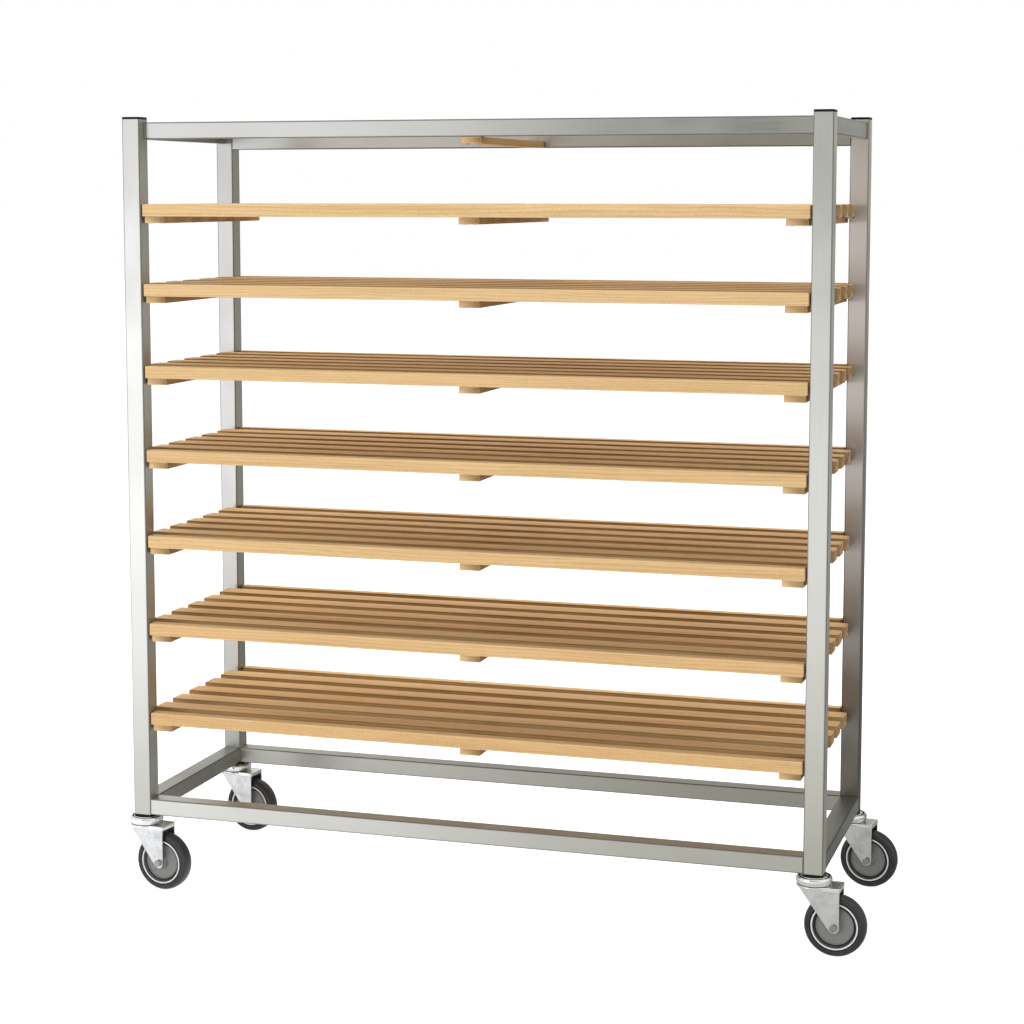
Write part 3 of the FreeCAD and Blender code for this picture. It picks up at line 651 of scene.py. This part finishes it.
for n in SHELVES:
    finish(batten_screws(n), f"shelf_{n}", ZINC)


# ---- welds ----
BEAD_RADIUS = 1.5 * MM
BEAD_PITCH = 3.0 * MM
BEAD_SIDES, LEAST_STATIONS = 8, 8
BEAD_RIPPLE = 0.1
SEAM_INSET = 1.2 * MM


def beads(name, starts, ends):
    """Weld beads along straight seams, as tubes with ripples.

    The radius is r (1 + 0.1 |sin(pi s / pitch)|), with s the distance along the seam, times a taper
    sqrt(1 - 0.98 |2 s / length - 1|^16) at the ends.
    """
    starts, ends = np.asarray(starts), np.asarray(ends)
    run = ends - starts
    length = np.linalg.norm(run, axis=1)
    stations = max(int(length.max() / BEAD_PITCH) * 2, LEAST_STATIONS)
    s = np.linspace(0, 1, stations)
    angle = np.arange(BEAD_SIDES) * 2 * np.pi / BEAD_SIDES
    direction = run / length[:, None]
    side = np.cross(direction, np.where(np.abs(direction[:, 2:]) > 0.5, X, Z))
    up = np.cross(direction, side)
    ripple = 1 + BEAD_RIPPLE * np.abs(np.sin(np.pi * s[None] * length[:, None] / BEAD_PITCH))
    radius = BEAD_RADIUS * ripple * np.sqrt(1 - np.abs(2 * s - 1)[None] ** 16 * 0.98)
    ring = np.cos(angle)[:, None] * side[:, None, None] + np.sin(angle)[:, None] * up[:, None, None]
    spine = starts[:, None] + run[:, None] * s[None, :, None]
    points = spine[:, :, None] + ring * radius[..., None, None]
    quads = grid_faces(stations, BEAD_SIDES, False, True)
    size = stations * BEAD_SIDES
    offsets = np.arange(len(starts)) * size
    first = np.arange(BEAD_SIDES)
    caps = (np.stack([first[::-1], first + size - BEAD_SIDES])[None] + offsets[:, None, None]).reshape(-1, BEAD_SIDES)
    faces = (quads[None] + offsets[:, None, None]).reshape(-1, 4)
    return piece(name, points.reshape(-1, 3), faces, list(caps))


def rail_seams(node, along):
    """The four seams round each end of a rail, a little inside its outline."""
    low, high = corners_of(node)
    across = 1 - along
    low[[across, 2]] += SEAM_INSET
    high[[across, 2]] -= SEAM_INSET
    ring = np.array([
        [low[across], low[2]], [high[across], low[2]], [high[across], high[2]], [low[across], high[2]],
    ])
    seams = []
    for end in (low[along], high[along]):
        corners = np.empty((4, 3))
        corners[:, along] = end
        corners[:, [across, 2]] = ring
        seams += list(zip(corners, np.roll(corners, -1, 0)))
    return seams


for level in ("bottom", "top"):
    seams = [seam for side, along in RAILS.items() for seam in rail_seams(f"{level}_rail_{side}", along)]
    welds = beads(f"{level}_rail_welds", [a for a, b in seams], [b for a, b in seams])
    finish(welds, "frame", WELD)


# ---- casters ----
TYRE_STEPS, ROUND_STEPS, PIN_STEPS, NUT_SIDES = 96, 72, 24, 6
TYRE_EASE, HUB_EASE, RIM_EASE = 1.5 * MM, 1.0 * MM, 0.6 * MM
COVER_EASE, STEM_EASE, PIN_EASE = 1.4 * MM, 1.0 * MM, 0.8 * MM
DARK_TOP_RING_EASE, LIP_EASE, SKIRT_EASE = 0.5 * MM, 0.9 * MM, 0.7 * MM


def turnings(name, profiles, centre, axis, across, steps=ROUND_STEPS):
    """Piece of one or more closed profiles turned about an axis."""
    return piece(name, *joined([turned(profile, centre, axis, across, steps) for profile in profiles]))


def wheel_axes(place):
    """Axle centre, axle direction and rolling direction of a caster's wheel."""
    low, high = corners_of(f"caster_{place}_tyre")
    turn = math.radians(SWING[place])
    axle = np.array([-math.sin(turn), math.cos(turn), 0])
    return (low + high) / 2, axle, np.array([math.cos(turn), math.sin(turn), 0])


def mirrored(half):
    """Closed profile from its half with positive heights."""
    return np.concatenate([half, half[::-1] * [1, -1]])


# Half profiles, as radius and distance from the wheel's middle plane.
TYRE_HALF = np.array([
    [46.2, 6.0], [46.2, 13.0], [48.0, 13.4], [48.6, 12.6], [49.6, 12.6], [50.4, 15.2], [51.6, 15.2], [52.0, 16.0],
    [53.4, 16.0], [53.8, 15.0], [55.2, 14.6], [56.0, 14.6], [56.5, 15.6], [57.7, 15.4], [58.0, 14.4], [58.9, 14.1],
    [61.3, 10.8], [62.3, 5.5], [62.5, 0.6],
]) * MM
HUB_HALF = np.array([
    [7.65, 19.9], [12.4, 19.9], [13.6, 18.9], [14.2, 11.4], [17.5, 9.1], [35.0, 8.6], [36.0, 10.6], [37.5, 10.8],
    [38.4, 9.6], [38.8, 5.2], [43.2, 5.2], [43.6, 14.8], [44.2, 15.6], [46.0, 15.6], [46.0, 0.5],
]) * MM
# Black rubber lip in the hub's hollow ring, a dark part that paints the shade of that hollow.
SHADE_LIP_HALF = np.array([[38.0, 4.8], [39.0, 7.8], [40.2, 8.4], [42.4, 10.6], [43.4, 10.6], [43.4, 4.8]]) * MM
RING_HALF = np.array([
    [44.4, 13.8], [44.4, 15.8], [45.0, 16.5], [46.6, 16.5], [47.3, 15.8], [47.3, 13.8],
]) * MM


for place in CORNERS:
    spin = wheel_axes(place)
    wheel = f"caster_{place}_wheel"
    tyre = turnings(f"tyre_{place}", [eased(mirrored(TYRE_HALF), TYRE_EASE, 4)], *spin, TYRE_STEPS)
    finish(tyre, wheel, RUBBER, [f"caster_{place}_tyre"])
    hub = turnings(f"hub_{place}", [eased(mirrored(HUB_HALF), HUB_EASE, 4)], *spin)
    finish(hub, wheel, HUB_GREY, [f"caster_{place}_hub"])
    rings = [eased(RING_HALF * [1, side], RIM_EASE, 4) for side in (1, -1)]
    finish(turnings(f"rim_rings_{place}", rings, *spin), wheel, RIM_BRIGHT)
    # Black rubber lips that paint the shade in the hub's hollow ring.
    shade_lip_profiles = [eased(SHADE_LIP_HALF * [1, side], RIM_EASE, 3) for side in (1, -1)]
    finish(turnings(f"shade_lips_{place}", shade_lip_profiles, *spin), wheel, RUBBER)


# Profiles, as radius and height above the floor.
COVER_PROFILE = np.array([
    [0.8, 157.6], [0.8, 160.0], [27.0, 160.0], [27.8, 158.2], [30.2, 158.0], [31.4, 159.6], [34.6, 158.4],
    [36.0, 154.8], [36.0, 150.0], [35.2, 146.4], [34.0, 144.1], [33.0, 144.1], [33.4, 150.0], [31.0, 155.0],
    [25.0, 157.5],
]) * MM
STEM_PROFILE = np.array([[0.4, 158.0], [6.0, 158.0], [6.0, 198.0], [0.4, 198.0]]) * MM
KINGPIN_PROFILE = np.array([[0.4, 133.0], [7.0, 133.0], [7.0, 158.5], [0.4, 158.5]]) * MM
KINGPIN_NUT = np.array([[0.4, 133.0], [12.0, 133.0], [12.0, 138.0], [0.4, 138.0]]) * MM
CROWN_LIP_PROFILE = np.array([
    [30.0, 139.0], [32.6, 137.6], [34.6, 138.4], [35.5, 140.4], [35.2, 142.2], [33.8, 143.0], [30.0, 143.0],
]) * MM
# Black ring in the top of the head, which makes that top dark.
DARK_TOP_RING_PROFILE = np.array([[27.6, 157.6], [27.9, 159.2], [31.0, 159.3], [31.3, 157.8]]) * MM
SKIRT_PROFILE = np.array([
    [-4.0, 142.9], [0.9, 142.9], [1.6, 142.2], [1.6, 135.4], [1.1, 134.6], [-0.6, 134.6], [-0.6, 141.4],
    [-4.0, 141.6],
]) * MM
SKIRT_ENDS = (-20 * MM, 55 * MM)
SKIRT_HALF = 25 * MM
SKIRT_CORNER = 4 * MM


def crown_skirt(place, foot):
    """Turned-down rim of the crown plate, a profile of (outward, height) carried along both cheeks and the back.

    The way runs along the trail on one side, round two corners of 4 mm and back on the other side, and the profile
    leans out along its normal.
    """
    trail = (wheel_axes(place)[0] - foot) * [1, 1, 0]
    trail /= np.linalg.norm(trail)
    side = np.cross(Z, trail)
    start, end = SKIRT_ENDS
    angle = np.radians(np.linspace(0, 90, 7))
    arc_lean = np.stack([np.sin(angle), np.cos(angle)], -1)
    arc = np.array([end, SKIRT_HALF]) - SKIRT_CORNER + SKIRT_CORNER * arc_lean
    half_way = np.concatenate([[[start, SKIRT_HALF]], arc])
    half_lean = np.concatenate([[[0.0, 1.0]], arc_lean])
    way = np.concatenate([half_way, half_way[::-1] * [1, -1]])
    lean = np.concatenate([half_lean, half_lean[::-1] * [1, -1]])
    profile = eased(SKIRT_PROFILE, SKIRT_EASE, 4)
    flat = way[:, None] + lean[:, None] * profile[None, :, :1]
    points = foot + flat[..., :1] * trail + flat[..., 1:] * side + profile[None, :, 1:] * Z
    count = len(profile)
    caps = np.stack([np.arange(count)[::-1], np.arange(count) + (len(way) - 1) * count])
    return piece(f"crown_skirt_{place}", points.reshape(-1, 3), grid_faces(len(way), count, False, True), list(caps))


for place in CORNERS:
    low, high = corners_of(f"caster_{place}_head")
    foot = np.array([(low[0] + high[0]) / 2, (low[1] + high[1]) / 2, 0])
    upright = (foot, Z, X)
    head = joined([
        turned(eased(COVER_PROFILE, COVER_EASE, 4), *upright, ROUND_STEPS),
        turned(eased(STEM_PROFILE, STEM_EASE, 3), *upright, PIN_STEPS),
        turned(eased(KINGPIN_PROFILE, PIN_EASE, 3), *upright, PIN_STEPS),
        turned(eased(KINGPIN_NUT, PIN_EASE, 3), *upright, NUT_SIDES),
    ])
    finish(piece(f"head_{place}", *head), "frame", PLATED, [f"caster_{place}_head"])
    # Black ring in the top of the head, which makes that top dark.
    dark_top_ring = turnings(f"seal_{place}", [eased(DARK_TOP_RING_PROFILE, DARK_TOP_RING_EASE, 3)], *upright)
    finish(dark_top_ring, "frame", BLACK_PLASTIC)
    lip = turnings(f"crown_lip_{place}", [eased(CROWN_LIP_PROFILE, LIP_EASE, 4)], *upright)
    finish(lip, f"caster_{place}_swivel", PLATED)
    finish(crown_skirt(place, foot), f"caster_{place}_swivel", PLATED)


# ---- materials of the solids that show as they are ----
def dress(node, material):
    """Puts a material on a solid's slots."""
    mesh = frame["nodes"][node].data
    mesh.materials.clear()
    mesh.materials.append(material)


for place in CORNERS:
    # Only the rear right post gets the painted shade towards the floor.
    dress(f"post_{place}", stainless(f"post_{place}", 2, REAR_RIGHT_LOW_SHADE if place == "rear_right" else 0.0))
    for part in ("fork", "bush", "balls"):
        dress(f"caster_{place}_{part}", ZINC)
    dress(f"caster_{place}_axle", BOLT_STEEL)
for level in ("bottom", "top"):
    for side, along in RAILS.items():
        dress(f"{level}_rail_{side}", stainless(f"{level}_rail_{side}", along))
dress("shelf_lugs", stainless("shelf_lugs", 1))
dress("top_bar_screws", BOLT_STEEL)
dress("post_caps", BLACK_PLASTIC)
dress("caster_sockets", BLACK_PLASTIC)


# ---- floor, light and camera ----
WHITE = (1, 1, 1, 1)
FLOOR_REACH = 30.0
FLOOR_GREY = (0.70, 0.70, 0.70, 1)
FLOOR_SHADED = (0.28, 0.28, 0.28, 1)
FLOOR_GLOW = 0.93
MATT_LEVEL = 0.72


def seen_share(tree):
    """1 on rays to the eye, in reflections and through glass, and 0 on those that light matt surfaces."""
    path = put(tree, "ShaderNodeLightPath").outputs
    reflected = maths(tree, "MAXIMUM", path["Is Glossy Ray"], path["Is Transmission Ray"])
    return maths(tree, "MAXIMUM", path["Is Camera Ray"], reflected)


def stage_piece(name, material_name, points, quads):
    """Object that is no part of the rack, and the empty node tree of its material."""
    mesh = bpy.data.meshes.new(name)
    mesh.from_pydata(points, [], quads)
    made = bpy.data.objects.new(name, mesh)
    bpy.context.scene.collection.objects.link(made)
    material = bpy.data.materials.new(material_name)
    material.use_nodes = True
    material.node_tree.nodes.clear()
    mesh.materials.append(material)
    return made, material.node_tree


def floor():
    """Pale floor: white to the eye and in reflections, with the shadow kept by its diffuse share."""
    corners = [(x * FLOOR_REACH, y * FLOOR_REACH, 0) for x, y in ((-1, -1), (1, -1), (1, 1), (-1, 1))]
    made, tree = stage_piece("floor", "pale_floor", corners, [(0, 1, 2, 3)])
    matt = put(tree, "ShaderNodeBsdfDiffuse", {"Color": FLOOR_GREY}).outputs[0]
    shaded = put(tree, "ShaderNodeBsdfDiffuse", {"Color": FLOOR_SHADED}).outputs[0]
    glow = put(tree, "ShaderNodeEmission", {"Color": WHITE, "Strength": FLOOR_GLOW}).outputs[0]
    lit = put(tree, "ShaderNodeAddShader", {0: shaded, 1: glow}).outputs[0]
    surface = put(tree, "ShaderNodeMixShader", {0: seen_share(tree), 1: matt, 2: lit}).outputs[0]
    put(tree, "ShaderNodeOutputMaterial", {0: surface})


def world():
    """White surroundings to the eye and in reflections, and a softer level on matt surfaces."""
    made = bpy.data.worlds.new("studio")
    bpy.context.scene.world = made
    made.use_nodes = True
    tree = made.node_tree
    back = tree.nodes["Background"]
    back.inputs["Color"].default_value = WHITE
    tree.links.new(spread(tree, seen_share(tree), 0, 1, MATT_LEVEL, 1.0), back.inputs["Strength"])


def ramp(value, low, high):
    """0 below the low value, 1 above the high one, and t^2 (3 - 2 t) between them."""
    t = np.clip((value - low) / (high - low), 0, 1)
    return t * t * (3 - 2 * t)


# Side view of the cove in (y, z): upright in front, a quarter circle down to the floor, the floor, and a quarter
# ellipse up behind.
COVE_TOP = 3.6
COVE_FOOT, COVE_RADIUS = -4.7, 0.9
COVE_BACK, BACK_DEPTH, BACK_HEIGHT = 1.2, 2.2, 3.2
CURVE_ROWS, FLOOR_ROWS, COVE_COLUMNS = 12, 40, 72
COVE_REACH, COVE_LIFT = 6, 0.003
# The eye as the front faces of the rack mirror it, and the two glows it sees in front: level, height of the hump,
# degrees of its peak above the horizon, and its width.
EYE_X, EYE_Y, EYE_Z = 1.39, 4.0, 1.5
LEFT_GLOW = (1.05, 2.3, -4.5, 5.3)
RIGHT_GLOW = (0.35, 1.03, -9.5, 6.0)
# Degrees left of straight ahead between which the right glow turns into the left one.
CHANGE_BELOW, CHANGE_ABOVE = (12, 29), (15.6, 18.6)
CARD_SIDES, CARD_ENDS, CARD_Y, CARD_ROWS = (0.82, 1.5), (0.01, 1.9), 0.9, 24
DIM_TINT, BRIGHT_TINT = (1, 1, 0.95, 1), (1, 1, 1.1, 1)


def hump(angle, level, height, peak, width):
    """A bell over a level: level + height exp(-((angle - peak) / width)^2 / 2)."""
    return level + height * np.exp(-((angle - peak) / width) ** 2 / 2)


def cove_glow(x, y, z):
    """How brightly each point of the cove shines.

    In front, the right glow turns into the left one, and more quickly above the horizon. The left one is 12 % less
    above the horizon, with up to 25 % more there toward the right. The right one is up to 80 % less above the
    horizon toward the left. Behind, the glow is 0.34 on the floor, grows to 0.56 at 0.6 m and falls to 0.46 at
    1.5 m. The left and right edges fade to 1.
    """
    rise = np.degrees(np.arctan2(z - EYE_Z, np.hypot(EYE_X - x, EYE_Y - y)))
    turn = np.degrees(np.arctan2(EYE_X - x, EYE_Y - y))
    above = ramp(rise, -4, 0.5)
    start, end = [low + (high - low) * above for low, high in zip(CHANGE_BELOW, CHANGE_ABOVE)]
    left = hump(rise, *LEFT_GLOW) * (1 - 0.12 * ramp(rise, -1, 2)) * (1 + 0.25 * above * (1 - ramp(turn, 19.5, 23.5)))
    right = hump(rise, *RIGHT_GLOW) * (1 - 0.8 * above * ramp(turn, 8.5, 13))
    share = ramp(turn, start, end)
    front = left * share + right * (1 - share)
    behind = 0.34 + 0.22 * ramp(z, 0.0, 0.6) - 0.10 * ramp(z, 0.9, 1.5)
    back = ramp(y, -0.2, 0.5)
    glow = front * (1 - back) + behind * back
    edge = np.maximum(ramp(x, 4.6, 5.8), ramp(-x, 0.9 + 4.0 * (1 - back), 1.9 + 4.0 * (1 - back)))
    return glow * (1 - edge) + edge


def studio_sweep():
    """Cove in front of, under and behind the rack, and a grey card at its right, for bare metal to reflect.

    The card stands behind the right end, 0.24 at the foot and 0.60 above 1.7 m. The glow's tint goes from warm
    where it is dim to cool where it is bright.
    """
    quarter = np.linspace(0, np.pi / 2, CURVE_ROWS)
    sine, rest = np.sin(quarter), 1 - np.cos(quarter)
    path = np.concatenate([
        np.stack([np.full(CURVE_ROWS, COVE_FOOT - COVE_RADIUS), np.linspace(COVE_TOP, COVE_RADIUS, CURVE_ROWS)], -1),
        np.stack([COVE_FOOT - COVE_RADIUS * sine, COVE_RADIUS * rest], -1)[-2::-1],
        np.stack([np.linspace(COVE_FOOT, COVE_BACK, FLOOR_ROWS), np.zeros(FLOOR_ROWS)], -1)[1:],
        np.stack([COVE_BACK + BACK_DEPTH * sine, BACK_HEIGHT * rest], -1)[1:],
    ])
    x, y = np.meshgrid(np.linspace(-COVE_REACH, COVE_REACH, COVE_COLUMNS), path[:, 0])
    z = np.broadcast_to(path[:, 1:] + COVE_LIFT, x.shape)
    cove = np.stack([x, y, z, cove_glow(x, y, z)], -1).reshape(-1, 4)
    x, z = np.meshgrid(CARD_SIDES, np.linspace(*CARD_ENDS, CARD_ROWS))
    card = np.stack([x, np.full(x.shape, CARD_Y), z, 0.24 + 0.36 * ramp(z, 1.35, 1.7)], -1).reshape(-1, 4)
    points, quads = joined([
        (cove, grid_faces(len(path), COVE_COLUMNS, False, False)), (card, grid_faces(*x.shape, False, False)),
    ])
    made, tree = stage_piece("studio_sweep", "studio_sweep", points[:, :3].tolist(), quads.tolist())
    glow = made.data.attributes.new("glow", "FLOAT", "POINT")
    glow.data.foreach_set("value", points[:, 3].astype(np.float32))
    made.visible_camera = False
    made.visible_diffuse = False
    made.visible_shadow = False
    level = put(tree, "ShaderNodeAttribute", attribute_name="glow").outputs["Fac"]
    tint = blended(tree, spread(tree, level, 0.8, 2.0), DIM_TINT, BRIGHT_TINT)
    light = put(tree, "ShaderNodeEmission", {"Color": tint, "Strength": level}).outputs[0]
    put(tree, "ShaderNodeOutputMaterial", {0: light})


# Name, place, the point that it faces, width, height and power of each lamp.
LAMPS = (
    ("key_front_left", (-2.4, -4.4, 1.2), (0, 0, 0.6), 2.8, 0.8, 57),
    ("fill_front", (0.4, -3.0, 0.35), (0.2, 0, 0.35), 2.6, 0.6, 21),
    ("top", (0, 0.2, 4.6), (0, 0, 0.85), 3.0, 3.0, 80),
    ("behind", (-0.6, 4.9, 2.4), (0, 0, 0.85), 3.4, 2.0, 284),
    ("left_side", (-3.2, 0.4, 1.7), (-0.7, 0, 0.5), 1.6, 1.2, 34),
)


def softbox(name, place, target, width, height, power):
    """Area lamp that faces a point. The sweep stands in for it in reflections."""
    lamp = bpy.data.lights.new(name, "AREA")
    lamp.shape = "RECTANGLE"
    lamp.size = width
    lamp.size_y = height
    lamp.energy = power
    made = bpy.data.objects.new(name, lamp)
    made.location = place
    made.rotation_euler = (Vector(target) - Vector(place)).to_track_quat("-Z", "Y").to_euler()
    made.visible_glossy = False
    bpy.context.scene.collection.objects.link(made)


CAMERA_PLACE = (1.3890, -4.5058, 1.5021)
CAMERA_DIP, CAMERA_TURN = 6.07, 17.2  # degrees
FOCAL_LENGTH, SENSOR_WIDTH, LENS_SHIFT = 78.05, 36.0, -0.080


def camera():
    """Long lens in front of the rack, right of its middle and a little below its top."""
    lens = bpy.data.cameras.new("camera")
    lens.lens = FOCAL_LENGTH
    lens.sensor_width = SENSOR_WIDTH
    lens.shift_y = LENS_SHIFT
    lens.clip_end = 100.0
    made = bpy.data.objects.new("camera", lens)
    made.location = CAMERA_PLACE
    made.rotation_euler = (math.radians(90 - CAMERA_DIP), 0, math.radians(CAMERA_TURN))
    bpy.context.scene.collection.objects.link(made)
    bpy.context.scene.camera = made


floor()
world()
studio_sweep()
camera()
for lamp in LAMPS:
    softbox(*lamp)

scene = bpy.context.scene
scene.view_settings.view_transform = "Standard"
